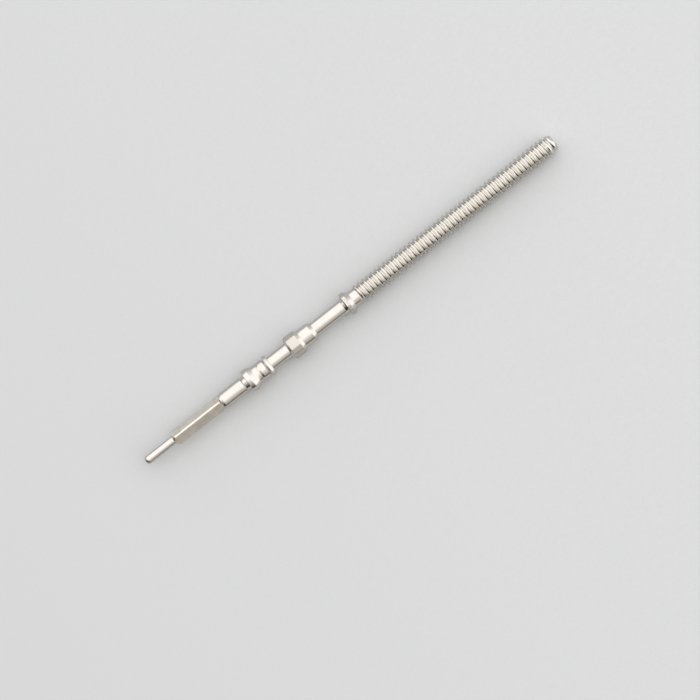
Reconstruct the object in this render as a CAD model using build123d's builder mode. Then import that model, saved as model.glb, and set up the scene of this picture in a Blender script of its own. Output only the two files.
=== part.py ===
from build123d import *
import os

# A watch stem: one slim steel bar, turned, milled and threaded along its length.
# The stem lies along X with its pilot towards -X and its crown thread towards +X.
# The origin is on the stem's axis, where the pilot meets the drive square.
# Every section is a solid of its own and meets its neighbours face to face.
# All sizes are in millimetres and all angles in degrees.

# Pilot pivot, which turns in the movement's plate, with a domed end that has a small flat
pilot_diameter = 0.37
pilot_length = 1.48
pilot_end_flat_diameter = 0.06

# Drive square, on which the sliding clutch travels, with one corner tipped away from straight up
square_across_flats = 0.50
square_corner_chamfer = 0.035
square_length = 2.55
square_nose_length = 0.14
square_tail_diameter = 0.51
square_tail_length = 0.13
square_corner_up_angle = 45
square_tip_angle = 10.6

# Pinion seat, on which the winding pinion turns freely
seat_diameter = 0.69
seat_length = 1.17
seat_nose_length = 0.09

# Front undercut, between the pinion seat and the shoulder, deepest at the seat
front_undercut_depth = 0.07
front_undercut_rise = 0.035
front_undercut_length = 0.14

# Shoulder, with a crest at its front that is steep before, broadly rounded on top and gentle behind
shoulder_diameter = 0.82
shoulder_length = 0.70
crest_point_height = 0.12
crest_rise_length = 0.12
crest_fall_length = 0.38
crest_top_round = 0.15
crest_foot_round = 0.40

# Oil groove, a fine V between the shoulder and the bearing land
oil_groove_depth = 0.06
oil_groove_length = 0.10

# Bearing land
land_diameter = 0.83
land_length = 0.21

# Rear undercut, in front of the lever flange
rear_undercut_depth = 0.12
rear_undercut_length = 0.07

# Lever flange, the thin wall in front of the setting lever, rolled over at its back
lever_flange_diameter = 0.98
lever_flange_length = 0.22
lever_flange_rise_length = 0.07
lever_flange_rear_round = 0.12

# Lever groove, the waist where the setting lever's pin runs
lever_groove_diameter = 0.635
lever_groove_length = 0.96

# Fourteen-sided rim of the faceted collar and the stop flange, with its corners skimmed round
rim_across_flats = 1.02
rim_corner_diameter = 1.04
rim_side_count = 14
rim_flat_up_angle = 90

# Faceted collar, the wall behind the setting lever
collar_front_chamfer = 0.085
collar_rim_length = 0.445
collar_cone_length = 0.155

# Guide drum, which steadies the stem in its hole
drum_diameter = 0.84
drum_length = 0.50
drum_cone_length = 0.155

# Shank neck
neck_diameter = 0.635
neck_length = 1.54

# Stop flange
stop_flange_rise_length = 0.14
stop_flange_rim_length = 0.15
stop_flange_fall_length = 0.20

# Thread relief, narrowest half way along
relief_waist_diameter = 0.72
relief_end_rise = 0.01
relief_length = 0.29

# Threaded shank for the crown, drawn at its major diameter, with a flat cone that leads the crown on
thread_major_diameter = 0.90
thread_length = 10.39
thread_start_chamfer = 0.09
thread_lead_length = 0.36
thread_lead_drop = 0.08
thread_end_round = 0.12

# Lengths of the sections that have several stretches
collar_length = collar_front_chamfer + collar_rim_length + collar_cone_length
stop_flange_length = stop_flange_rise_length + stop_flange_rim_length + stop_flange_fall_length

# Places along the stem where the sections start
square_start = 0
seat_start = square_start + square_length
front_undercut_start = seat_start + seat_length
shoulder_start = front_undercut_start + front_undercut_length
oil_groove_start = shoulder_start + shoulder_length
land_start = oil_groove_start + oil_groove_length
rear_undercut_start = land_start + land_length
lever_flange_start = rear_undercut_start + rear_undercut_length
lever_groove_start = lever_flange_start + lever_flange_length
collar_start = lever_groove_start + lever_groove_length
drum_start = collar_start + collar_length
neck_start = drum_start + drum_length + drum_cone_length
stop_flange_start = neck_start + neck_length
relief_start = stop_flange_start + stop_flange_length
thread_start = relief_start + relief_length

# Radii, shared where two sections meet
pilot_radius = pilot_diameter / 2
square_tail_radius = square_tail_diameter / 2
seat_radius = seat_diameter / 2
front_undercut_radius = seat_radius - front_undercut_depth
shoulder_foot_radius = front_undercut_radius + front_undercut_rise
shoulder_radius = shoulder_diameter / 2
land_radius = land_diameter / 2
rear_undercut_radius = land_radius - rear_undercut_depth
lever_flange_radius = lever_flange_diameter / 2
lever_groove_radius = lever_groove_diameter / 2
rim_corner_radius = rim_corner_diameter / 2
drum_radius = drum_diameter / 2
neck_radius = neck_diameter / 2
relief_waist_radius = relief_waist_diameter / 2
relief_end_radius = relief_waist_radius + relief_end_rise
thread_major_radius = thread_major_diameter / 2


def turning_plane(start):
    """The plane of a turned outline: its X runs along the stem from start, and its Y is the radius."""
    return Plane.XZ.shift_origin((start, 0, 0))


def turned_outline(start, *points):
    """The half outline of a turned section through (place, radius) points, closed along the axis."""
    with BuildSketch(turning_plane(start)) as outline:
        with BuildLine():
            Polyline((0, 0), *points, (points[-1][0], 0), close=True)
        make_face()
    return outline.sketch


def rim_prism(start):
    """The many-sided cross-section at start, with one flat straight up and one straight down."""
    with BuildSketch(Plane.YZ.offset(start)) as prism:
        RegularPolygon(
            rim_across_flats / 2,
            rim_side_count,
            major_radius=False,
            rotation=rim_flat_up_angle + 180 / rim_side_count,
        )
    return prism.sketch


def finish(piece, name):
    """Label a finished piece, print its volume and write its file."""
    piece.part.label = name
    print(f"{name}: {piece.part.volume:.4f} mm3")
    export_step(piece.part, f"parts/{name}.step")


os.makedirs("parts", exist_ok=True)

# The pilot is a plain pin with a domed end.
with BuildPart() as pilot_pivot:
    with BuildSketch(turning_plane(-pilot_length)):
        with BuildLine():
            Polyline(
                (0, 0),
                (0, pilot_radius),
                (pilot_length, pilot_radius),
                (pilot_length, 0),
                close=True,
            )
        make_face()
        fillet(
            vertices().sort_by_distance((0, pilot_radius))[0],
            pilot_radius - pilot_end_flat_diameter / 2,
        )
    revolve(axis=Axis.X)
finish(pilot_pivot, "pilot_pivot")

# The square is milled on a blank as large as the pinion seat, so its nose and tail stay conical.
# Its four long corners are broken by narrow flats.
with BuildPart() as drive_square:
    outline = turned_outline(
        square_start,
        (0, pilot_radius),
        (square_nose_length, seat_radius),
        (square_length - square_tail_length, seat_radius),
        (square_length, square_tail_radius),
    )
    revolve(outline, axis=Axis.X)
    with BuildSketch(Plane.YZ.offset(square_start)):
        Rectangle(
            square_across_flats,
            square_across_flats,
            rotation=square_corner_up_angle - square_tip_angle,
        )
        chamfer(vertices(), square_corner_chamfer)
    extrude(amount=square_length, mode=Mode.INTERSECT)
finish(drive_square, "drive_square")

# The pinion seat starts with a cone that rises from the tail of the square.
with BuildPart() as pinion_seat:
    outline = turned_outline(
        seat_start,
        (0, square_tail_radius),
        (seat_nose_length, seat_radius),
        (seat_length, seat_radius),
    )
    revolve(outline, axis=Axis.X)
finish(pinion_seat, "pinion_seat")

# The front undercut drops square behind the seat and rises in a flat cone to the foot of the shoulder.
with BuildPart() as front_undercut:
    outline = turned_outline(
        front_undercut_start,
        (0, front_undercut_radius),
        (front_undercut_length, shoulder_foot_radius),
    )
    revolve(outline, axis=Axis.X)
finish(front_undercut, "front_undercut")

# The shoulder rises steeply out of the undercut, rolls over its crest and falls gently to a plain land.
with BuildPart() as crested_shoulder:
    crest_foot_place = crest_rise_length + crest_fall_length
    with BuildSketch(turning_plane(shoulder_start)):
        with BuildLine():
            Polyline(
                (0, 0),
                (0, shoulder_foot_radius),
                (crest_rise_length, shoulder_radius + crest_point_height),
                (crest_foot_place, shoulder_radius),
                (shoulder_length, shoulder_radius),
                (shoulder_length, 0),
                close=True,
            )
        make_face()
        fillet(vertices().sort_by_distance((crest_foot_place, shoulder_radius))[0], crest_foot_round)
        fillet(vertices().sort_by(Axis.Y)[-1], crest_top_round)
    revolve(axis=Axis.X)
finish(crested_shoulder, "crested_shoulder")

# The oil groove is a V, deepest half way along.
with BuildPart() as oil_groove:
    outline = turned_outline(
        oil_groove_start,
        (0, shoulder_radius),
        (oil_groove_length / 2, shoulder_radius - oil_groove_depth),
        (oil_groove_length, land_radius),
    )
    revolve(outline, axis=Axis.X)
finish(oil_groove, "oil_groove")

# The bearing land is a plain cylinder.
with BuildPart() as bearing_land:
    with BuildSketch(Plane.YZ.offset(land_start)):
        Circle(land_radius)
    extrude(amount=land_length)
finish(bearing_land, "bearing_land")

# The rear undercut falls in a cone to the foot of the lever flange.
with BuildPart() as rear_undercut:
    outline = turned_outline(
        rear_undercut_start,
        (0, land_radius),
        (rear_undercut_length, rear_undercut_radius),
    )
    revolve(outline, axis=Axis.X)
finish(rear_undercut, "rear_undercut")

# The lever flange rises steeply to a narrow rim and rolls over to a wall that drops to the lever groove.
with BuildPart() as lever_flange:
    with BuildSketch(turning_plane(lever_flange_start)):
        with BuildLine():
            Polyline(
                (0, 0),
                (0, rear_undercut_radius),
                (lever_flange_rise_length, lever_flange_radius),
                (lever_flange_length, lever_flange_radius),
                (lever_flange_length, 0),
                close=True,
            )
        make_face()
        fillet(
            vertices().sort_by_distance((lever_flange_length, lever_flange_radius))[0],
            lever_flange_rear_round,
        )
    revolve(axis=Axis.X)
finish(lever_flange, "lever_flange")

# The lever groove is a plain waist.
with BuildPart() as lever_groove:
    with BuildSketch(Plane.YZ.offset(lever_groove_start)):
        Circle(lever_groove_radius)
    extrude(amount=lever_groove_length)
finish(lever_groove, "lever_groove")

# The faceted collar has a chamfered front, a many-sided rim and a cone that falls to the drum.
with BuildPart() as faceted_collar:
    outline = turned_outline(
        collar_start,
        (0, rim_corner_radius - collar_front_chamfer),
        (collar_front_chamfer, rim_corner_radius),
        (collar_front_chamfer + collar_rim_length, rim_corner_radius),
        (collar_length, drum_radius),
    )
    revolve(outline, axis=Axis.X)
    extrude(rim_prism(collar_start), amount=collar_length, mode=Mode.INTERSECT)
finish(faceted_collar, "faceted_collar")

# The guide drum ends in a short cone that falls to the neck.
with BuildPart() as guide_drum:
    outline = turned_outline(
        drum_start,
        (0, drum_radius),
        (drum_length, drum_radius),
        (drum_length + drum_cone_length, neck_radius),
    )
    revolve(outline, axis=Axis.X)
finish(guide_drum, "guide_drum")

# The shank neck is a plain waist.
with BuildPart() as shank_neck:
    with BuildSketch(Plane.YZ.offset(neck_start)):
        Circle(neck_radius)
    extrude(amount=neck_length)
finish(shank_neck, "shank_neck")

# The stop flange rises in a steep cone to its many-sided rim and falls in a longer one to the relief.
with BuildPart() as stop_flange:
    outline = turned_outline(
        stop_flange_start,
        (0, neck_radius),
        (stop_flange_rise_length, rim_corner_radius),
        (stop_flange_rise_length + stop_flange_rim_length, rim_corner_radius),
        (stop_flange_length, relief_end_radius),
    )
    revolve(outline, axis=Axis.X)
    extrude(rim_prism(stop_flange_start), amount=stop_flange_length, mode=Mode.INTERSECT)
finish(stop_flange, "stop_flange")

# The thread relief is a waist with a slightly hollow floor.
with BuildPart() as thread_relief:
    with BuildSketch(turning_plane(relief_start)):
        with BuildLine():
            ThreePointArc(
                (0, relief_end_radius),
                (relief_length / 2, relief_waist_radius),
                (relief_length, relief_end_radius),
            )
            Polyline(
                (relief_length, relief_end_radius),
                (relief_length, 0),
                (0, 0),
                (0, relief_end_radius),
            )
        make_face()
    revolve(axis=Axis.X)
finish(thread_relief, "thread_relief")

# The threaded shank starts with a small chamfer and ends with a flat cone and a rounded edge.
with BuildPart() as threaded_shank:
    thread_end_radius = thread_major_radius - thread_lead_drop
    with BuildSketch(turning_plane(thread_start)):
        with BuildLine():
            Polyline(
                (0, 0),
                (0, relief_end_radius),
                (thread_start_chamfer, thread_major_radius),
                (thread_length - thread_lead_length, thread_major_radius),
                (thread_length, thread_end_radius),
                (thread_length, 0),
                close=True,
            )
        make_face()
        fillet(
            vertices().sort_by_distance((thread_length, thread_end_radius))[0],
            thread_end_round,
        )
    revolve(axis=Axis.X)
finish(threaded_shank, "threaded_shank")

print(f"whole stem: {pilot_length + thread_start + thread_length:.3f} mm long")
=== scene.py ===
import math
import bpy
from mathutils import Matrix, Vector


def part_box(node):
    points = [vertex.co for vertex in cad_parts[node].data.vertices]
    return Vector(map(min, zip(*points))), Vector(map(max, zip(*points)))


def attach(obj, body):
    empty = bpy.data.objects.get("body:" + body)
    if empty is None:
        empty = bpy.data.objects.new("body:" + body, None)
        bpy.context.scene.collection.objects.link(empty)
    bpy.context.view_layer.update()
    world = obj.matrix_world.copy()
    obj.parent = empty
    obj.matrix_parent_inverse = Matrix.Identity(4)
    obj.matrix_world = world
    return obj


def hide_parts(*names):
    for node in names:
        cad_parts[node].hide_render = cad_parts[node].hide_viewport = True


bl_info = {
    "name": "Watch stem",
    "version": (1, 0, 0),
    "blender": (4, 5, 0),
    "location": "3D View > Sidebar > Watch stem",
    "description": "Turned, milled and threaded watch stem on pale paper in soft light",
    "category": "Mesh",
}

import bmesh
import bpy
from bpy.props import FloatProperty, FloatVectorProperty, IntProperty, PointerProperty
from mathutils import Matrix, Vector

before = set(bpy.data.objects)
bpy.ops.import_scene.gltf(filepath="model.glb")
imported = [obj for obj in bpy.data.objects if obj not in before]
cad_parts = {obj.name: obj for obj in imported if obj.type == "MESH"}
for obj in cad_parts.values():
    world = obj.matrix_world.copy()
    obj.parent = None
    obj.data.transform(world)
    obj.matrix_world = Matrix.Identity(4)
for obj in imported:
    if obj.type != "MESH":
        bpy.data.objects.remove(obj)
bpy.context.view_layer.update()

MM = 0.001

WELD_DISTANCE = 0.00001 * MM
SHORTEST_STRETCH = 0.001 * MM
SMALLEST_TURN = 0.001

# The most of a stretch that the rounds at its ends may take.
ROUNDED_SHARE = 0.88
# How far a holding point stands from its corner, in reaches of the round.
HOLDING_REACHES = 1.12
# How near the inner faces of a flat come to its edge.
BESIDE_EDGE_SHARE = 0.96

SQUARE_SIDES = 4
SQUARE_FLAT_STEPS = 24
RIM_FLAT_STEPS = 8
# Turns that the thread runs past each end before it is cut.
SPARE_TURNS = 2

PAPER_STEPS = 24
# How far the camera sees, in widths of the paper.
PAPER_WIDTHS_SEEN = 10

TURNING_RINGS = (26.0, 0.9, 0.9)
MIDDLE_OF_NOISE = (0.3, 0.7)
# Painted light: the paper's colour turns paler between these places along the stem, in
# millimetres, standing in for light that falls off towards the pilot.
PAPER_PAINTED_LIGHT_SPAN = (-20.0, 14.0)

# The sky is dark on one side and clears of its haze towards another. Its stops run from the
# side opposite the dark one to the dark side itself.
DARK_SIDE = (-0.793, -0.609, 0.0)
CLEAR_SIDE = (0.44, 0.15, 1.0)
HAZE_DEPTH = 0.22
HAZE_LEVEL = 0.2
SKY_STOPS = (
    (0.03, (0.60, 0.60, 0.60)),
    (0.05, (0.72, 0.72, 0.72)),
    (0.08, (0.95, 0.95, 0.95)),
    (0.25, (0.98, 0.98, 0.98)),
    (0.35, (1.0, 1.0, 0.995)),
    (0.53, (0.99, 0.99, 0.985)),
    (0.563, (0.92, 0.92, 0.91)),
    (0.606, (0.776, 0.771, 0.757)),
    (0.65, (0.63, 0.621, 0.602)),
    (0.732, (0.474, 0.461, 0.434)),
    (0.798, (0.351, 0.334, 0.309)),
    (0.841, (0.205, 0.194, 0.177)),
    (0.902, (0.082, 0.077, 0.071)),
    (0.957, (0.048, 0.045, 0.042)),
)


def length(name, description, millimetres):
    """A size that the user can change, shown as a length."""
    return FloatProperty(
        name=name,
        description=description,
        default=millimetres * MM,
        min=0.0,
        subtype="DISTANCE",
        unit="LENGTH",
        precision=5,
    )


def place_along(name, description, millimetres):
    """A place that the user can change, on either side of the origin."""
    return FloatProperty(
        name=name,
        description=description,
        default=millimetres * MM,
        subtype="DISTANCE",
        unit="LENGTH",
        precision=5,
    )


def count(name, description, number, least):
    """A number of sides or steps that the user can change."""
    return IntProperty(name=name, description=description, default=number, min=least)


def angle(name, description, degrees):
    """An angle that the user can change."""
    return FloatProperty(
        name=name,
        description=description,
        default=math.radians(degrees),
        subtype="ANGLE",
        unit="ROTATION",
    )


def share(name, description, value):
    """A share between nothing and all, such as a roughness."""
    return FloatProperty(
        name=name,
        description=description,
        default=value,
        min=0.0,
        max=1.0,
        subtype="FACTOR",
    )


def colour(name, description, value):
    """A linear colour that the user can change."""
    return FloatVectorProperty(
        name=name,
        description=description,
        default=value,
        min=0.0,
        max=1.0,
        size=3,
        subtype="COLOR",
    )


class StemSizes(bpy.types.PropertyGroup):
    """Sizes of the turned and milled sections that the frame's boxes don't give."""

    edge_round: length("Edge round", "Radius of the turned edges", 0.014)
    foot_round: length("Foot round", "Radius where a waist meets a wall", 0.03)
    segments: count("Segments", "Faces round a turned section", 128, 24)
    arc_steps: count("Arc steps", "Faces across a rounded edge", 6, 1)

    pilot_end_flat: length("Pilot end flat", "Width of the flat on the pilot's dome", 0.06)

    square_across_flats: length("Square across flats", "Width of the drive square", 0.50)
    square_nose_length: length("Square nose", "Length of the square's conical nose", 0.14)
    square_tail_length: length("Square tail", "Length of the square's conical tail", 0.13)
    square_tip: angle("Square tip", "Turn of a corner away from straight up", 10.6)
    square_corner_round: length("Square corner round", "Radius of the square's long corners", 0.06)

    tool_slope: angle("Tool slope", "Slope of the seat's nose and of the front floors", 14.0)
    groove_slope: angle("Groove slope", "Slope of the rear undercut's floor", 23.0)
    tool_round: length("Tool round", "Radius that the grooving tool leaves", 0.006)
    wall_length: length("Wall length", "Length of a wall nearly square to the stem", 0.006)
    seat_cone_length: length("Seat cone", "Length of the cone before the pinion seat", 0.09)

    crest_wall_place: length("Crest wall", "Place of the wall under the crest", 0.065)
    crest_front_drop: length("Crest front drop", "Drop from the crest to its front edge", 0.02)
    crest_place: length("Crest place", "Place of the crest's point on the shoulder", 0.27)
    crest_fall_length: length("Crest fall", "Length of the gentle back of the crest", 0.26)
    crest_height: length("Crest height", "Height of the crest above the shoulder", 0.115)
    crest_top_round: length("Crest top round", "Radius over the crest", 0.15)
    crest_foot_round: length("Crest foot round", "Radius where the crest runs out", 0.40)

    undercut_start: length("Rear undercut start", "Plain length before the undercut", 0.025)
    undercut_depth: length("Rear undercut depth", "Depth of its root below the land", 0.075)
    lever_wall_place: length("Lever flange wall", "Place of the flange's front wall", 0.045)
    lever_flange_fall: length("Lever flange fall", "Fall of the cone behind its edge", 0.05)
    lever_rear_length: length("Lever flange rear", "Length behind its rear wall's top", 0.02)

    rim_across_flats: length("Rim across flats", "Width of the many-sided rims", 1.02)
    rim_sides: count("Rim sides", "Number of flats on a rim", 14, 3)
    rim_flat_up: angle("Rim flat up", "Turn that brings a flat straight up", 90.0)
    collar_front_chamfer: length("Collar chamfer", "Chamfer on the front of the collar", 0.085)
    collar_rim_length: length("Collar rim", "Length of the collar's rim at its corners", 0.445)

    drum_cone_length: length("Drum cone", "Length of the cone behind the guide drum", 0.155)

    stop_foot_length: length("Stop flange foot", "Cone in front of the stop flange's wall", 0.11)
    stop_foot_slope: angle("Stop flange foot slope", "Slope of the cone before the wall", 23.0)
    stop_rise_length: length("Stop flange rise", "Length of the stop flange's whole front", 0.14)
    stop_rim_length: length("Stop flange rim", "Length of its rim at the corners", 0.15)

    relief_end_rise: length("Relief rise", "Rise of the thread relief to each end", 0.01)


class ThreadSizes(bpy.types.PropertyGroup):
    """Sizes of the crown thread."""

    pitch: length("Pitch", "Step of the thread for one turn", 0.225)
    depth: length("Depth", "Height of a crest above the root", 0.115)
    crest_share: share("Crest share", "Plain crest as a share of the pitch", 0.10)
    root_share: share("Root share", "Plain root as a share of the pitch", 0.19)
    crest_round_share: share("Crest round", "Radius of its edges as a share of the pitch", 0.03)
    root_round_share: share("Root round", "Radius of its edges as a share of the pitch", 0.02)
    start_share: share("Start share", "Place of the first crest as a share of the pitch", 0.0)
    start_chamfer: length("Start chamfer", "Chamfer beside the relief", 0.09)
    lead_length: length("Lead length", "Length of the flat cone at the far end", 0.36)
    end_round: length("End round", "Radius of the far end's edge", 0.12)
    segments: count("Segments", "Faces round one turn", 96, 24)
    arc_steps: count("Arc steps", "Faces across a thread edge", 3, 1)


class FinishSettings(bpy.types.PropertyGroup):
    """Colours and polish of the steel."""

    turned_colour: colour("Turned steel", "Reflection of the turned steel", (0.60, 0.566, 0.528))
    milled_colour: colour("Milled steel", "Reflection of the milled flats", (0.72, 0.671, 0.605))
    bright_colour: colour("Bright steel", "Reflection of the rims' flats", (0.53, 0.494, 0.455))
    thread_colour: colour("Thread steel", "Reflection of the thread crests", (0.71, 0.677, 0.635))
    # The root colour is painted shade: it darkens the thread's roots, where shade falls.
    root_shade_colour: colour("Painted root shade", "Painted shade in the thread's roots", (0.10, 0.085, 0.07))
    root_shade_share: share("Share of painted root shade", "How much of the thread's roots the painted shade hides", 0.19)
    turned_roughness: share("Turned roughness", "Roughness of the turned steel", 0.2)
    milled_roughness: share("Milled roughness", "Roughness of the milled flats", 0.34)
    thread_roughness: share("Thread roughness", "Roughness of the thread", 0.08)
    edge_tint: share("Edge tint", "Light kept by turned steel that is seen edge on", 0.82)
    milled_edge_tint: share("Milled edge tint", "Light kept by flats seen edge on", 0.8)
    thread_edge_tint: share("Thread edge tint", "Light kept by a thread seen edge on", 0.75)


class StageSettings(bpy.types.PropertyGroup):
    """Paper, light and camera."""

    paper_colour: colour("Paper", "Colour of the paper under the stem", (0.578, 0.584, 0.589))
    paper_width: length("Paper width", "Side of the paper", 1200.0)
    light_strength: FloatProperty(
        name="Light",
        description="Strength of the soft light",
        default=1.73,
        min=0.0,
    )
    camera_height: length("Camera height", "Distance from the camera to the stem", 150.0)
    frame_width: length("Frame width", "Width of the picture at the stem", 29.24)
    camera_x: place_along("Camera along", "Place of the camera along the stem", 8.114)
    camera_y: place_along("Camera across", "Place of the camera across the stem", -1.593)
    stem_turn: angle("Stem turn", "Turn of the stem from the picture's lower edge", 38.14)


class Signal:
    """One output of a node, for arithmetic on values: each operator adds its Math node."""

    def __init__(self, graph, socket):
        self.graph = graph
        self.socket = socket

    def math(self, operation, *terms):
        settings = {"operation": operation}
        return self.graph.add("ShaderNodeMath", settings, dict(enumerate(terms)))

    def __add__(self, other):
        return self.math("ADD", self, other)

    def __sub__(self, other):
        return self.math("SUBTRACT", self, other)

    def __mul__(self, other):
        return self.math("MULTIPLY", self, other)

    def __radd__(self, other):
        return self.math("ADD", other, self)

    def __rsub__(self, other):
        return self.math("SUBTRACT", other, self)

    def __rmul__(self, other):
        return self.math("MULTIPLY", other, self)


class Graph:
    """The nodes of one material or world."""

    def __init__(self, owner):
        owner.use_nodes = True
        self.tree = owner.node_tree
        self.tree.nodes.clear()

    def add(self, kind, settings=None, inputs=None, output=0):
        """Add a node, set it up, fill or link its inputs, and return one of its outputs."""
        node = self.tree.nodes.new(kind)
        for name, value in (settings or {}).items():
            if name == "stops":
                self.set_stops(node.color_ramp, value)
            else:
                setattr(node, name, value)
        for name, value in (inputs or {}).items():
            if isinstance(value, Signal):
                self.tree.links.new(value.socket, node.inputs[name])
            else:
                node.inputs[name].default_value = value
        if not node.outputs:
            return None
        return Signal(self, node.outputs[output])

    def set_stops(self, ramp, stops):
        """Give a colour ramp its (place, colour) stops."""
        while len(ramp.elements) < len(stops):
            ramp.elements.new(1.0)
        for element, (place, value) in zip(ramp.elements, stops):
            element.position = place
            element.color = (*value, 1.0)

    def millimetres(self):
        """The place on the object, in millimetres."""
        place = self.add("ShaderNodeTexCoord", output="Object")
        return self.stretch(place, (1 / MM, 1 / MM, 1 / MM))

    def on_vectors(self, operation, *vectors, output="Vector"):
        """Add a Vector Math node."""
        settings = {"operation": operation}
        return self.add("ShaderNodeVectorMath", settings, dict(enumerate(vectors)), output)

    def stretch(self, vector, factors):
        """A vector with each of its directions scaled."""
        return self.on_vectors("MULTIPLY", vector, factors)

    def from_axis(self, vector):
        """How far a place lies from the stem's axis."""
        across = self.stretch(vector, (0.0, 1.0, 1.0))
        return self.on_vectors("LENGTH", across, output="Value")

    def towards(self, direction, way):
        """How far a direction points one way."""
        return self.on_vectors("DOT_PRODUCT", direction, way, output="Value")

    def noise(self, vector, scale, detail, roughness=0.5):
        """Smooth noise between nothing and one."""
        inputs = {"Vector": vector, "Scale": scale, "Detail": detail, "Roughness": roughness}
        return self.add("ShaderNodeTexNoise", inputs=inputs)

    def streaks(self, vector, factors, detail, roughness=0.5):
        """Noise drawn out into rings or grain: the larger a factor, the finer it is that way."""
        return self.noise(self.stretch(vector, factors), 1.0, detail, roughness)

    def between(self, value, low, high):
        """Where a value lies from low to high, kept between nothing and one."""
        inputs = {"Value": value, "From Min": low, "From Max": high}
        return self.add("ShaderNodeMapRange", inputs=inputs)

    def mix(self, factor, first, second):
        """A colour between two colours."""
        inputs = {0: factor, 6: first, 7: second}
        return self.add("ShaderNodeMix", {"data_type": "RGBA"}, inputs, output=2)

    def mix_tones(self, factor, base, darker, paler):
        """A colour between a darker and a paler tone of one colour."""
        return self.mix(factor, opaque(base, darker), opaque(base, paler))

    def bump(self, height, distance):
        """A normal that follows a height."""
        inputs = {"Height": height, "Strength": 1.0, "Distance": distance}
        return self.add("ShaderNodeBump", inputs=inputs)


def opaque(rgb, factor=1.0):
    """A colour with its alpha, made lighter or darker."""
    return (*(channel * factor for channel in rgb), 1.0)


def surface(graph, inputs):
    """Finish a material with its shader and output."""
    shader = graph.add("ShaderNodeBsdfPrincipled", inputs=inputs)
    graph.add("ShaderNodeOutputMaterial", inputs={"Surface": shader})


def metal_surface(graph, base_colour, roughness, normal, edge_tint):
    """Finish a metal, which darkens a little where it is seen edge on."""
    inputs = {
        "Base Color": base_colour,
        "Roughness": roughness,
        "Metallic": 1.0,
        "Specular Tint": opaque((1.0, 1.0, 1.0), edge_tint),
        "Normal": normal,
    }
    surface(graph, inputs)


def turned_steel(graph, finish):
    """Polished turned steel: fine rings round the stem, faint mottling and a trace of oil."""
    base = finish.turned_colour
    place = graph.millimetres()
    rings = graph.streaks(place, TURNING_RINGS, detail=3.0, roughness=0.6)
    fine_rings = graph.streaks(place, (70.0, 2.0, 2.0), detail=2.0)
    mottle = graph.noise(place, scale=2.2, detail=3.0)
    patches = graph.noise(place, scale=5.5, detail=4.0, roughness=0.65)
    film = graph.between(patches, low=0.52, high=0.74)
    tone = graph.mix_tones(mottle, base, darker=0.94, paler=1.05)
    oil = opaque((base[0], base[1] * 0.96, base[2] * 0.88), 0.72)
    base_colour = graph.mix(film * 0.10, tone, oil)
    roughness = rings * 0.07 + mottle * 0.06 + film * 0.06 + (finish.turned_roughness - 0.09)
    normal = graph.bump(rings * 0.6 + fine_rings * 0.4, distance=0.0009 * MM)
    metal_surface(graph, base_colour, roughness, normal, finish.edge_tint)


def rimmed_steel(graph, finish):
    """Drawn flats, softer and a little soiled, that run out on polished turned cones."""
    apothem = bpy.context.scene.stem_sizes.rim_across_flats / 2 / MM
    place = graph.millimetres()
    flat = graph.between(graph.from_axis(place), low=apothem - 0.02, high=apothem - 0.005)
    grain = graph.streaks(place, (1.6, 30.0, 30.0), detail=3.0, roughness=0.6)
    rings = graph.streaks(place, TURNING_RINGS, detail=3.0, roughness=0.6)
    clouds = graph.noise(place, scale=3.6, detail=4.0, roughness=0.6)
    drawn = graph.mix_tones(clouds, finish.bright_colour, darker=0.92, paler=1.07)
    turned = graph.mix_tones(clouds, finish.turned_colour, darker=0.98, paler=1.08)
    base_colour = graph.mix(flat, turned, drawn)
    roughness = grain * 0.06 + clouds * 0.06 + flat * 0.04 + (finish.turned_roughness - 0.07)
    normal = graph.bump(grain * flat + rings * (1.0 - flat), distance=0.0008 * MM)
    metal_surface(graph, base_colour, roughness, normal, finish.edge_tint)


def milled_steel(graph, finish):
    """Milled flats: a fine lengthwise grain with a few deeper scratches and cloudy patches."""
    base = finish.milled_colour
    place = graph.millimetres()
    grain = graph.streaks(place, (1.3, 34.0, 34.0), detail=3.0, roughness=0.6)
    finest_grain = graph.streaks(place, (2.4, 60.0, 60.0), detail=1.0)
    scratches = graph.between(finest_grain, low=0.62, high=0.75)
    clouds = graph.noise(place, scale=3.2, detail=4.0, roughness=0.6)
    patches = graph.between(clouds, *MIDDLE_OF_NOISE)
    tone = graph.mix_tones(patches, base, darker=0.84, paler=1.08)
    base_colour = graph.mix(scratches * 0.35, tone, opaque(base, 1.25))
    roughness = grain * 0.12 + clouds * 0.10 + (finish.milled_roughness - 0.11)
    normal = graph.bump(grain - scratches * 0.5, distance=0.0012 * MM)
    metal_surface(graph, base_colour, roughness, normal, finish.milled_edge_tint)


def threaded_steel(graph, finish):
    """Thread steel: bright crests, flanks with turning marks and painted shade darkening the
    roots.
    """
    crest_radius = largest_radius("threaded_shank")
    root_radius = crest_radius - bpy.context.scene.stem_thread.depth
    place = graph.millimetres()
    height = graph.between(graph.from_axis(place), root_radius / MM, crest_radius / MM)
    marks = graph.streaks(place, (48.0, 1.6, 1.6), detail=2.0)
    mottle = graph.noise(place, scale=3.4, detail=3.0)
    # Painted shade: darker towards the thread's roots, with a little random mottling at its edge.
    root_shade = graph.between(height + mottle * 0.3, low=0.62, high=0.12)
    tone = graph.mix_tones(mottle, finish.thread_colour, darker=0.92, paler=1.06)
    base_colour = graph.mix(root_shade * finish.root_shade_share, tone, opaque(finish.root_shade_colour))
    roughness = marks * 0.08 + mottle * 0.05 + root_shade * 0.14 + (finish.thread_roughness - 0.07)
    normal = graph.bump(marks, distance=0.0008 * MM)
    metal_surface(graph, base_colour, roughness, normal, finish.thread_edge_tint)


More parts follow.
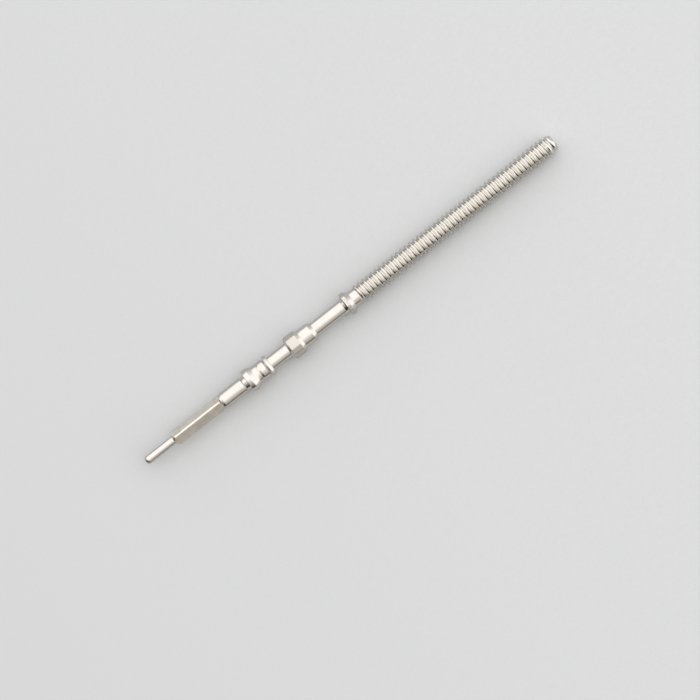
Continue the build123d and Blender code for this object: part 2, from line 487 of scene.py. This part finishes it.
def pale_paper(graph, base):
    """Smooth pale paper with a faint grain, painted a little paler beyond the thread than the
    pilot as painted light.
    """
    place = graph.millimetres()
    stretched = graph.stretch(place, (1.6, 2.4, 1.0))
    fibres = graph.noise(stretched, scale=1.5, detail=5.0, roughness=0.7)
    specks = graph.noise(place, scale=9.0, detail=2.0, roughness=0.6)
    along = graph.add("ShaderNodeSeparateXYZ", inputs={"Vector": place})
    # Painted light: paler towards the thread, darker towards the pilot.
    painted_light_towards_thread = graph.between(along, *PAPER_PAINTED_LIGHT_SPAN)
    tone = graph.mix_tones(painted_light_towards_thread, base, darker=0.945, paler=1.035)
    mottling = graph.between(fibres, *MIDDLE_OF_NOISE) * 0.5
    speckling = graph.between(specks, *MIDDLE_OF_NOISE) * 0.3
    mottled = graph.mix(mottling, tone, opaque(base, 0.955))
    inputs = {
        "Base Color": graph.mix(speckling, mottled, opaque(base, 0.89)),
        "Roughness": 0.9,
        "Specular IOR Level": 0.2,
        "Normal": graph.bump(fibres, distance=0.004 * MM),
    }
    surface(graph, inputs)


finishes = {
    "turned_steel": turned_steel,
    "bright_steel": rimmed_steel,
    "milled_steel": milled_steel,
    "threaded_steel": threaded_steel,
}


def material_for(slot):
    """The finish of a slot of the record, made when it is first needed.

    The frame brings plain materials that are named like the slots, so these have other names.
    """
    name = f"finished_{slot}"
    if name not in bpy.data.materials:
        material = bpy.data.materials.new(name)
        finishes[slot](Graph(material), bpy.context.scene.stem_finish)
    return bpy.data.materials[name]


def largest_radius(node):
    """The largest radius of a section of the frame."""
    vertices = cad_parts[node].data.vertices
    return max(math.hypot(vertex.co.y, vertex.co.z) for vertex in vertices)


def section(node):
    """Where a section of the frame starts and ends along the stem, and its largest radius."""
    low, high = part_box(node)
    return low.x, high.x, largest_radius(node)


def end_radius(node, at_end):
    """The radius of a section of the frame at its first or last face."""
    low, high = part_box(node)
    place = high.x if at_end else low.x
    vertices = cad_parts[node].data.vertices
    near = [vertex.co for vertex in vertices if abs(vertex.co.x - place) < SHORTEST_STRETCH]
    return max(math.hypot(co.y, co.z) for co in near)


def rounded(corners, steps, holding=True):
    """Points of an outline through (place, radius, edge radius) corners, rounded by arcs.

    Beside each arc a holding point keeps the plain stretches exactly straight in their shading.
    """
    places = [Vector(corner[:2]) for corner in corners]
    spans = [(after - before).length for before, after in zip(places, places[1:])]
    ways = [(after - before).normalized() for before, after in zip(places, places[1:])]
    turns = [math.atan2(back.cross(ahead), back.dot(ahead)) for back, ahead in zip(ways, ways[1:])]
    reaches = [corner[2] * math.tan(abs(turn) / 2) for corner, turn in zip(corners[1:], turns)]
    reaches = [0.0, *reaches, 0.0]
    for index, span in enumerate(spans):
        both = reaches[index] + reaches[index + 1]
        if both > ROUNDED_SHARE * span:
            reaches[index] *= ROUNDED_SHARE * span / both
            reaches[index + 1] *= ROUNDED_SHARE * span / both
    points = [places[0]]
    for corner, back, ahead, turn, reach in zip(places[1:], ways, ways[1:], turns, reaches[1:]):
        radius = reach / math.tan(abs(turn) / 2) if abs(turn) > SMALLEST_TURN else 0.0
        side = Vector((-back.y, back.x)) * math.copysign(radius, turn)
        centre = corner - back * reach + side
        if holding:
            points.append(corner - back * reach * HOLDING_REACHES)
        for step in range(steps + 1):
            points.append(centre + Matrix.Rotation(turn * step / steps, 2) @ -side)
        if holding:
            points.append(corner + ahead * reach * HOLDING_REACHES)
    points.append(places[-1])
    return points


def even_angles(segments):
    """Evenly spaced angles round the stem."""
    return [math.tau * step / segments for step in range(segments)]


def side_angles(sides, turn, edge_angle, steps):
    """Angles round a section with flats: over each flat, close to its edges and on its corner."""
    half_side = math.pi / sides
    beside_edge = BESIDE_EDGE_SHARE * edge_angle
    offsets = [beside_edge * (2 * step / steps - 1) for step in range(steps + 1)]
    offsets = [-edge_angle, *offsets, edge_angle, half_side]
    return [turn + side * 2 * half_side + offset for side in range(sides) for offset in offsets]


def flat_offset(around, sides, turn):
    """How far an angle round the stem lies from the middle of its flat."""
    side = math.tau / sides
    return (around - turn + side / 2) % side - side / 2


def ring_point(place, radius, around):
    """A point of a turned surface. Angles run from +Y towards +Z."""
    return (place, radius * math.cos(around), radius * math.sin(around))


def close_end(mesh, loop):
    """Close an open end with one flat face whose border stays sharp."""
    face = mesh.faces.new(loop)
    for edge in face.edges:
        edge.smooth = False


def add_strip(mesh, here, following):
    """Join two columns of points by smooth faces."""
    for loop in zip(here, following, following[1:], here[1:]):
        mesh.faces.new(loop).smooth = True


def turned_mesh(angles, outline_at):
    """A closed mesh round the stem's axis, through its outline at each of the angles."""
    mesh = bmesh.new()
    columns = []
    for around in angles:
        outline = outline_at(around)
        columns.append([mesh.verts.new(ring_point(x, r, around)) for x, r in outline])
    for here, following in zip(columns, columns[1:] + columns[:1]):
        add_strip(mesh, here, following)
    close_end(mesh, [column[0] for column in reversed(columns)])
    close_end(mesh, [column[-1] for column in columns])
    bmesh.ops.remove_doubles(mesh, verts=mesh.verts[:], dist=WELD_DISTANCE)
    bmesh.ops.recalc_face_normals(mesh, faces=mesh.faces[:])
    return mesh


def add_object(name, mesh, material):
    """Put a mesh into the scene as an object of one material."""
    data = bpy.data.meshes.new(name)
    mesh.to_mesh(data)
    mesh.free()
    data.materials.append(material)
    thing = bpy.data.objects.new(name, data)
    bpy.context.scene.collection.objects.link(thing)
    return thing


def add_piece(name, mesh, node, slot):
    """Make a piece of the stem for a node of the frame, with the finish of a slot."""
    piece = add_object(name, mesh, material_for(slot))
    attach(piece, "root")
    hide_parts(node)


def add_turned(name, node, corners):
    """Make a round piece from one outline."""
    sizes = bpy.context.scene.stem_sizes
    outline = rounded(corners, sizes.arc_steps)
    mesh = turned_mesh(even_angles(sizes.segments), lambda around: outline)
    add_piece(name, mesh, node, "turned_steel")


def add_straight(name, node, first_radius, last_radius):
    """Make a round piece with a straight side, as long as its node."""
    start, end, _ = section(node)
    corners = [
        (start, first_radius, 0.0),
        ((start + end) / 2, (first_radius + last_radius) / 2, 0.0),
        (end, last_radius, 0.0),
    ]
    add_turned(name, node, corners)


def rear_floor(place):
    """The radius of the rear undercut's floor, which runs on under the lever flange."""
    sizes = bpy.context.scene.stem_sizes
    start, _, land_radius = section("rear_undercut")
    root_place = start + sizes.undercut_start + sizes.wall_length
    root_radius = land_radius - sizes.undercut_depth
    return root_radius + (place - root_place) * math.tan(sizes.groove_slope)


def add_rimmed(name, node, entry, front, rim_start, rim_end, rear):
    """Make a flange whose turned rim has flats.

    entry, front and rear are (place, radius, edge radius) corners: where the flange starts,
    where its front begins to rise and where its rear cone ends. rim_start and rim_end are the
    ends of its rim at the corners.
    """
    sizes = bpy.context.scene.stem_sizes
    corner_radius = largest_radius(node)
    apothem = sizes.rim_across_flats / 2
    edge_angle = math.acos(apothem / corner_radius)
    front_slope = (rim_start - front[0]) / (corner_radius - front[1])
    rear_slope = (rear[0] - rim_end) / (corner_radius - rear[1])

    def outline_at(around):
        offset = flat_offset(around, sizes.rim_sides, sizes.rim_flat_up)
        radius = min(apothem / math.cos(offset), corner_radius)
        drop = corner_radius - radius
        corners = [
            entry,
            front,
            (rim_start - drop * front_slope, radius, sizes.edge_round),
            (rim_end + drop * rear_slope, radius, sizes.edge_round),
            rear,
        ]
        return rounded(corners, sizes.arc_steps)

    angles = side_angles(sizes.rim_sides, sizes.rim_flat_up, edge_angle, RIM_FLAT_STEPS)
    add_piece(name, turned_mesh(angles, outline_at), node, "bright_steel")


class STEM_OT_pilot(bpy.types.Operator):
    """Turn the pilot pin with its domed end"""

    bl_idname = "watch_stem.pilot"
    bl_label = "Pilot"

    def execute(self, context):
        sizes = context.scene.stem_sizes
        start, end, radius = section("pilot_pivot")
        corners = [
            (start, SHORTEST_STRETCH, 0.0),
            (start, radius, radius - sizes.pilot_end_flat / 2),
            (end, radius, 0.0),
        ]
        add_turned("turned_pilot", "pilot_pivot", corners)
        return {"FINISHED"}


class STEM_OT_drive_square(bpy.types.Operator):
    """Mill the drive square on its turned blank"""

    bl_idname = "watch_stem.drive_square"
    bl_label = "Drive square"

    def execute(self, context):
        sizes = context.scene.stem_sizes
        start, end, _ = section("drive_square")
        pilot_radius = largest_radius("pilot_pivot")
        blank_radius = largest_radius("pinion_seat")
        tail_radius = end_radius("pinion_seat", at_end=False)
        half_side = math.pi / SQUARE_SIDES
        turn = math.radians(90) + half_side - sizes.square_tip
        apothem = sizes.square_across_flats / 2
        corner_centre = (apothem - sizes.square_corner_round) / math.cos(half_side)
        edge_angle = math.atan(corner_centre * math.sin(half_side) / apothem)
        nose_slope = sizes.square_nose_length / (blank_radius - pilot_radius)
        tail_slope = sizes.square_tail_length / (blank_radius - tail_radius)

        def milled_radius(around):
            """The radius of the square, over a flat or over a rounded corner."""
            offset = abs(flat_offset(around, SQUARE_SIDES, turn))
            if offset <= edge_angle:
                return apothem / math.cos(offset)
            beside = half_side - offset
            reach = sizes.square_corner_round**2 - (corner_centre * math.sin(beside)) ** 2
            return corner_centre * math.cos(beside) + math.sqrt(max(reach, 0.0))

        def outline_at(around):
            radius = milled_radius(around)
            tail = max((radius - tail_radius) * tail_slope, SHORTEST_STRETCH)
            corners = [
                (start, pilot_radius, 0.0),
                (start + (radius - pilot_radius) * nose_slope, radius, sizes.edge_round),
                (end - tail, radius, sizes.edge_round),
                (end, min(radius, tail_radius), 0.0),
            ]
            return rounded(corners, sizes.arc_steps)

        angles = side_angles(SQUARE_SIDES, turn, edge_angle, SQUARE_FLAT_STEPS)
        mesh = turned_mesh(angles, outline_at)
        add_piece("milled_square", mesh, "drive_square", "milled_steel")
        return {"FINISHED"}


class STEM_OT_pinion_seat(bpy.types.Operator):
    """Turn the pinion seat and the undercut behind it"""

    bl_idname = "watch_stem.pinion_seat"
    bl_label = "Pinion seat"

    def execute(self, context):
        sizes = context.scene.stem_sizes
        slope = math.tan(sizes.tool_slope)
        floor_start, floor_end, foot_radius = section("front_undercut")
        floor_radius = foot_radius - (floor_end - floor_start) * slope
        start, end, radius = section("pinion_seat")
        nose_radius = end_radius("pinion_seat", at_end=False)
        cone_start = start + sizes.wall_length
        corners = [
            (start, nose_radius, 0.0),
            (cone_start, radius - sizes.seat_cone_length * slope, sizes.tool_round),
            (cone_start + sizes.seat_cone_length, radius, sizes.edge_round),
            (end, radius, sizes.edge_round),
            (end, floor_radius, 0.0),
        ]
        add_turned("turned_pinion_seat", "pinion_seat", corners)
        add_straight("turned_front_undercut", "front_undercut", floor_radius, foot_radius)
        return {"FINISHED"}


class STEM_OT_shoulder(bpy.types.Operator):
    """Turn the crested shoulder, the oil groove, the bearing land and the undercut behind it"""

    bl_idname = "watch_stem.shoulder"
    bl_label = "Shoulder"

    def execute(self, context):
        sizes = context.scene.stem_sizes
        slope = math.tan(sizes.tool_slope)
        start, end, _ = section("crested_shoulder")
        foot_radius = end_radius("crested_shoulder", at_end=False)
        plain_radius = end_radius("crested_shoulder", at_end=True)
        wall_place = start + sizes.crest_wall_place
        crest_place = start + sizes.crest_place
        crest_radius = plain_radius + sizes.crest_height
        front_radius = crest_radius - sizes.crest_front_drop
        corners = [
            (start, foot_radius, 0.0),
            (wall_place, foot_radius + sizes.crest_wall_place * slope, sizes.tool_round),
            (wall_place + sizes.wall_length, front_radius, sizes.edge_round),
            (crest_place, crest_radius, sizes.crest_top_round),
            (crest_place + sizes.crest_fall_length, plain_radius, sizes.crest_foot_round),
            (end, plain_radius, 0.0),
        ]
        add_turned("turned_crest_shoulder", "crested_shoulder", corners)

        start, end, land_radius = section("oil_groove")
        floor_place = start + 2 * sizes.wall_length
        floor_radius = land_radius - (end - floor_place) * slope
        corners = [
            (start, plain_radius, 0.0),
            (start + sizes.wall_length, plain_radius, sizes.tool_round / 2),
            (floor_place, floor_radius, sizes.tool_round),
            (end, land_radius, 0.0),
        ]
        add_turned("turned_oil_groove", "oil_groove", corners)

        land_radius = largest_radius("bearing_land")
        add_straight("turned_bearing_land", "bearing_land", land_radius, land_radius)

        start, end, land_radius = section("rear_undercut")
        wall_place = start + sizes.undercut_start
        root_place = wall_place + sizes.wall_length
        corners = [
            (start, land_radius, 0.0),
            (wall_place, land_radius, sizes.tool_round),
            (root_place, rear_floor(root_place), sizes.tool_round),
            (end, rear_floor(end), 0.0),
        ]
        add_turned("turned_rear_undercut", "rear_undercut", corners)
        return {"FINISHED"}


class STEM_OT_lever_waist(bpy.types.Operator):
    """Turn the lever flange and the lever groove"""

    bl_idname = "watch_stem.lever_waist"
    bl_label = "Lever flange and groove"

    def execute(self, context):
        sizes = context.scene.stem_sizes
        start, end, radius = section("lever_flange")
        waist_radius = largest_radius("lever_groove")
        wall_place = start + sizes.lever_wall_place
        rear_place = end - sizes.lever_rear_length
        corners = [
            (start, rear_floor(start), 0.0),
            (wall_place, rear_floor(wall_place), sizes.tool_round),
            (wall_place + sizes.wall_length, radius, sizes.edge_round),
            (rear_place, radius - sizes.lever_flange_fall, sizes.edge_round),
            (rear_place + sizes.wall_length, waist_radius, sizes.tool_round),
            (end, waist_radius, 0.0),
        ]
        add_turned("turned_lever_flange", "lever_flange", corners)

        start, end, _ = section("lever_groove")
        corners = [
            (start, waist_radius, 0.0),
            (end, waist_radius, sizes.foot_round),
            (end, waist_radius + 2 * sizes.foot_round, 0.0),
        ]
        add_turned("turned_lever_groove", "lever_groove", corners)
        return {"FINISHED"}


class STEM_OT_faceted_collar(bpy.types.Operator):
    """Make the faceted collar"""

    bl_idname = "watch_stem.faceted_collar"
    bl_label = "Faceted collar"

    def execute(self, context):
        sizes = context.scene.stem_sizes
        start, end, corner_radius = section("faceted_collar")
        drum_radius = largest_radius("guide_drum")
        front_radius = corner_radius - sizes.collar_front_chamfer
        rim_start = start + sizes.collar_front_chamfer
        add_rimmed(
            "faceted_collar_wall",
            "faceted_collar",
            entry=(start, front_radius - 2 * sizes.foot_round, 0.0),
            front=(start, front_radius, sizes.edge_round),
            rim_start=rim_start,
            rim_end=rim_start + sizes.collar_rim_length,
            rear=(end, drum_radius, 0.0),
        )
        return {"FINISHED"}


class STEM_OT_guide_drum(bpy.types.Operator):
    """Turn the guide drum and the shank neck behind it"""

    bl_idname = "watch_stem.guide_drum"
    bl_label = "Guide drum and neck"

    def execute(self, context):
        sizes = context.scene.stem_sizes
        start, end, radius = section("guide_drum")
        neck_radius = largest_radius("shank_neck")
        corners = [
            (start, radius, 0.0),
            (end - sizes.drum_cone_length, radius, sizes.edge_round),
            (end, neck_radius, 0.0),
        ]
        add_turned("turned_guide_drum", "guide_drum", corners)
        add_straight("turned_shank_neck", "shank_neck", neck_radius, neck_radius)
        return {"FINISHED"}


class STEM_OT_stop_flange(bpy.types.Operator):
    """Make the stop flange and the thread relief"""

    bl_idname = "watch_stem.stop_flange"
    bl_label = "Stop flange and relief"

    def execute(self, context):
        sizes = context.scene.stem_sizes
        start, end, _ = section("stop_flange")
        neck_radius = largest_radius("shank_neck")
        relief_radius = largest_radius("thread_relief") - sizes.relief_end_rise
        rim_start = start + sizes.stop_rise_length
        foot_radius = neck_radius + sizes.stop_foot_length * math.tan(sizes.stop_foot_slope)
        add_rimmed(
            "faceted_stop_flange",
            "stop_flange",
            entry=(start, neck_radius, 0.0),
            front=(start + sizes.stop_foot_length, foot_radius, sizes.tool_round),
            rim_start=rim_start,
            rim_end=rim_start + sizes.stop_rim_length,
            rear=(end, relief_radius, 0.0),
        )
        add_straight("turned_thread_relief", "thread_relief", relief_radius, relief_radius)
        return {"FINISHED"}


class STEM_OT_threaded_shank(bpy.types.Operator):
    """Roll the crown thread along the shank"""

    bl_idname = "watch_stem.threaded_shank"
    bl_label = "Threaded shank"

    def execute(self, context):
        thread = context.scene.stem_thread
        start, end, radius = section("threaded_shank")
        start_radius = end_radius("threaded_shank", at_end=False)
        face_radius = end_radius("threaded_shank", at_end=True)
        start_slope = (radius - start_radius) / thread.start_chamfer
        lead_start = end - thread.lead_length
        round_start = end - thread.end_round
        lead_slope = (radius - face_radius - thread.end_round) / (round_start - lead_start)
        outline, points_in_turn = self.thread_outline(thread, start, end, radius)

        def turned_radius(x):
            """The radius of the blank, which the thread can't pass."""
            if x < lead_start:
                return start_radius + (x - start) * start_slope
            if x < round_start:
                return radius - (x - lead_start) * lead_slope
            into_round = min(x - round_start, thread.end_round)
            return face_radius + math.sqrt(thread.end_round**2 - into_round**2)

        mesh = bmesh.new()
        columns = []
        for step, around in enumerate(even_angles(thread.segments)):
            column = []
            for place, height in outline:
                x = place + thread.pitch * step / thread.segments
                kept = max(min(height, turned_radius(x)), SHORTEST_STRETCH)
                column.append(mesh.verts.new(ring_point(x, kept, around)))
            columns.append(column)
        for here, following in zip(columns, [*columns[1:], columns[0][points_in_turn:]]):
            add_strip(mesh, here, following)
        for place, direction in ((start, -1.0), (end, 1.0)):
            self.cut_end(mesh, place, direction)
        bmesh.ops.recalc_face_normals(mesh, faces=mesh.faces[:])
        add_piece("rolled_crown_thread", mesh, "threaded_shank", "threaded_steel")
        return {"FINISHED"}

    def thread_outline(self, thread, start, end, radius):
        """The thread's outline, with spare turns past both ends, and its points in one turn."""
        root = radius - thread.depth
        crest_round = thread.crest_round_share * thread.pitch
        root_round = thread.root_round_share * thread.pitch
        crest = thread.crest_share * thread.pitch
        flank = (1 - thread.crest_share - thread.root_share) * thread.pitch / 2
        turns = math.ceil((end - start) / thread.pitch) + 2 * SPARE_TURNS
        first = start - (SPARE_TURNS - thread.start_share) * thread.pitch
        corners = []
        for turn in range(turns):
            place = first + turn * thread.pitch
            corners.append((place, root, root_round))
            corners.append((place + flank, radius, crest_round))
            corners.append((place + flank + crest, radius, crest_round))
            corners.append((place + 2 * flank + crest, root, root_round))
        outline = rounded(corners, thread.arc_steps, holding=False)[1:-1]
        return outline, len(corners) // turns * (thread.arc_steps + 1)

    def cut_end(self, mesh, place, direction):
        """Cut the thread square at one end and close it."""
        geometry = mesh.verts[:] + mesh.edges[:] + mesh.faces[:]
        cut = bmesh.ops.bisect_plane(
            mesh,
            geom=geometry,
            dist=WELD_DISTANCE,
            plane_co=(place, 0.0, 0.0),
            plane_no=(direction, 0.0, 0.0),
            clear_outer=True,
        )
        edges = [part for part in cut["geom_cut"] if isinstance(part, bmesh.types.BMEdge)]
        for edge in edges:
            edge.smooth = False
        bmesh.ops.contextual_create(mesh, geom=edges)


class STEM_OT_stage(bpy.types.Operator):
    """Set the paper, the soft light and the camera"""

    bl_idname = "watch_stem.stage"
    bl_label = "Paper, light and camera"

    def execute(self, context):
        stage = context.scene.stem_stage
        context.scene.view_settings.view_transform = "Standard"
        self.lay_paper(context, stage)
        self.hang_light(context, stage)
        self.set_camera(context, stage)
        return {"FINISHED"}

    def lay_paper(self, context, stage):
        """The stem lies on a flat of its stop flange and on the far end of its thread."""
        _, flange_end, _ = section("stop_flange")
        _, thread_end, thread_radius = section("threaded_shank")
        flange_radius = context.scene.stem_sizes.rim_across_flats / 2
        tilt = math.atan2(flange_radius - thread_radius, thread_end - flange_end)
        mesh = bmesh.new()
        bmesh.ops.create_grid(
            mesh,
            x_segments=PAPER_STEPS,
            y_segments=PAPER_STEPS,
            size=stage.paper_width / 2,
        )
        material = bpy.data.materials.new("pale_paper")
        pale_paper(Graph(material), stage.paper_colour)
        floor = add_object("paper", mesh, material)
        floor.location = (flange_end, 0.0, -flange_radius)
        floor.rotation_euler = (0.0, -tilt, 0.0)

    def hang_light(self, context, stage):
        """Soft light from all round, dark beyond the pilot's right side and hazy low down."""
        world = bpy.data.worlds.new("soft_studio")
        context.scene.world = world
        graph = Graph(world)
        direction = graph.add("ShaderNodeTexCoord", output="Generated")
        across_sky = graph.towards(direction, DARK_SIDE) * 0.5 + 0.5
        sky = graph.add("ShaderNodeValToRGB", {"stops": SKY_STOPS}, {"Fac": across_sky})
        above_haze = graph.towards(direction, CLEAR_SIDE)
        clearness = graph.between(above_haze, low=0.0, high=HAZE_DEPTH)
        inputs = {0: sky, "Scale": clearness * (1 - HAZE_LEVEL) + HAZE_LEVEL}
        level = graph.add("ShaderNodeVectorMath", {"operation": "SCALE"}, inputs)
        inputs = {"Color": level, "Strength": stage.light_strength}
        light = graph.add("ShaderNodeBackground", inputs=inputs)
        graph.add("ShaderNodeOutputWorld", inputs={"Surface": light})

    def set_camera(self, context, stage):
        """The camera looks straight down on the stem."""
        data = bpy.data.cameras.new("camera")
        data.lens = data.sensor_width * stage.camera_height / stage.frame_width
        data.clip_start = MM
        data.clip_end = PAPER_WIDTHS_SEEN * stage.paper_width
        place = Matrix.Translation((stage.camera_x, stage.camera_y, stage.camera_height))
        camera = bpy.data.objects.new("camera", data)
        camera.matrix_world = place @ Matrix.Rotation(-stage.stem_turn, 4, "Z")
        context.scene.collection.objects.link(camera)
        context.scene.camera = camera


pieces = (
    STEM_OT_pilot,
    STEM_OT_drive_square,
    STEM_OT_pinion_seat,
    STEM_OT_shoulder,
    STEM_OT_lever_waist,
    STEM_OT_faceted_collar,
    STEM_OT_guide_drum,
    STEM_OT_stop_flange,
    STEM_OT_threaded_shank,
    STEM_OT_stage,
)

groups = {
    "stem_sizes": StemSizes,
    "stem_thread": ThreadSizes,
    "stem_finish": FinishSettings,
    "stem_stage": StageSettings,
}


class STEM_PT_panel(bpy.types.Panel):
    """Sizes, finishes and pieces of the watch stem"""

    bl_idname = "STEM_PT_panel"
    bl_label = "Watch stem"
    bl_space_type = "VIEW_3D"
    bl_region_type = "UI"
    bl_category = "Watch stem"

    def draw(self, context):
        layout = self.layout
        for operator in pieces:
            layout.operator(operator.bl_idname)
        for settings in groups:
            box = layout.box()
            values = getattr(context.scene, settings)
            for name in values.__annotations__:
                box.prop(values, name)


def register():
    for settings, group in groups.items():
        bpy.utils.register_class(group)
        setattr(bpy.types.Scene, settings, PointerProperty(type=group))
    for kind in (*pieces, STEM_PT_panel):
        bpy.utils.register_class(kind)


def unregister():
    for kind in (STEM_PT_panel, *reversed(pieces)):
        bpy.utils.unregister_class(kind)
    for settings, group in groups.items():
        delattr(bpy.types.Scene, settings)
        bpy.utils.unregister_class(group)


def main():
    """Make every piece and the stage."""
    register()
    bpy.ops.watch_stem.pilot()
    bpy.ops.watch_stem.drive_square()
    bpy.ops.watch_stem.pinion_seat()
    bpy.ops.watch_stem.shoulder()
    bpy.ops.watch_stem.lever_waist()
    bpy.ops.watch_stem.faceted_collar()
    bpy.ops.watch_stem.guide_drum()
    bpy.ops.watch_stem.stop_flange()
    bpy.ops.watch_stem.threaded_shank()
    bpy.ops.watch_stem.stage()


if __name__ == "__main__":
    main()
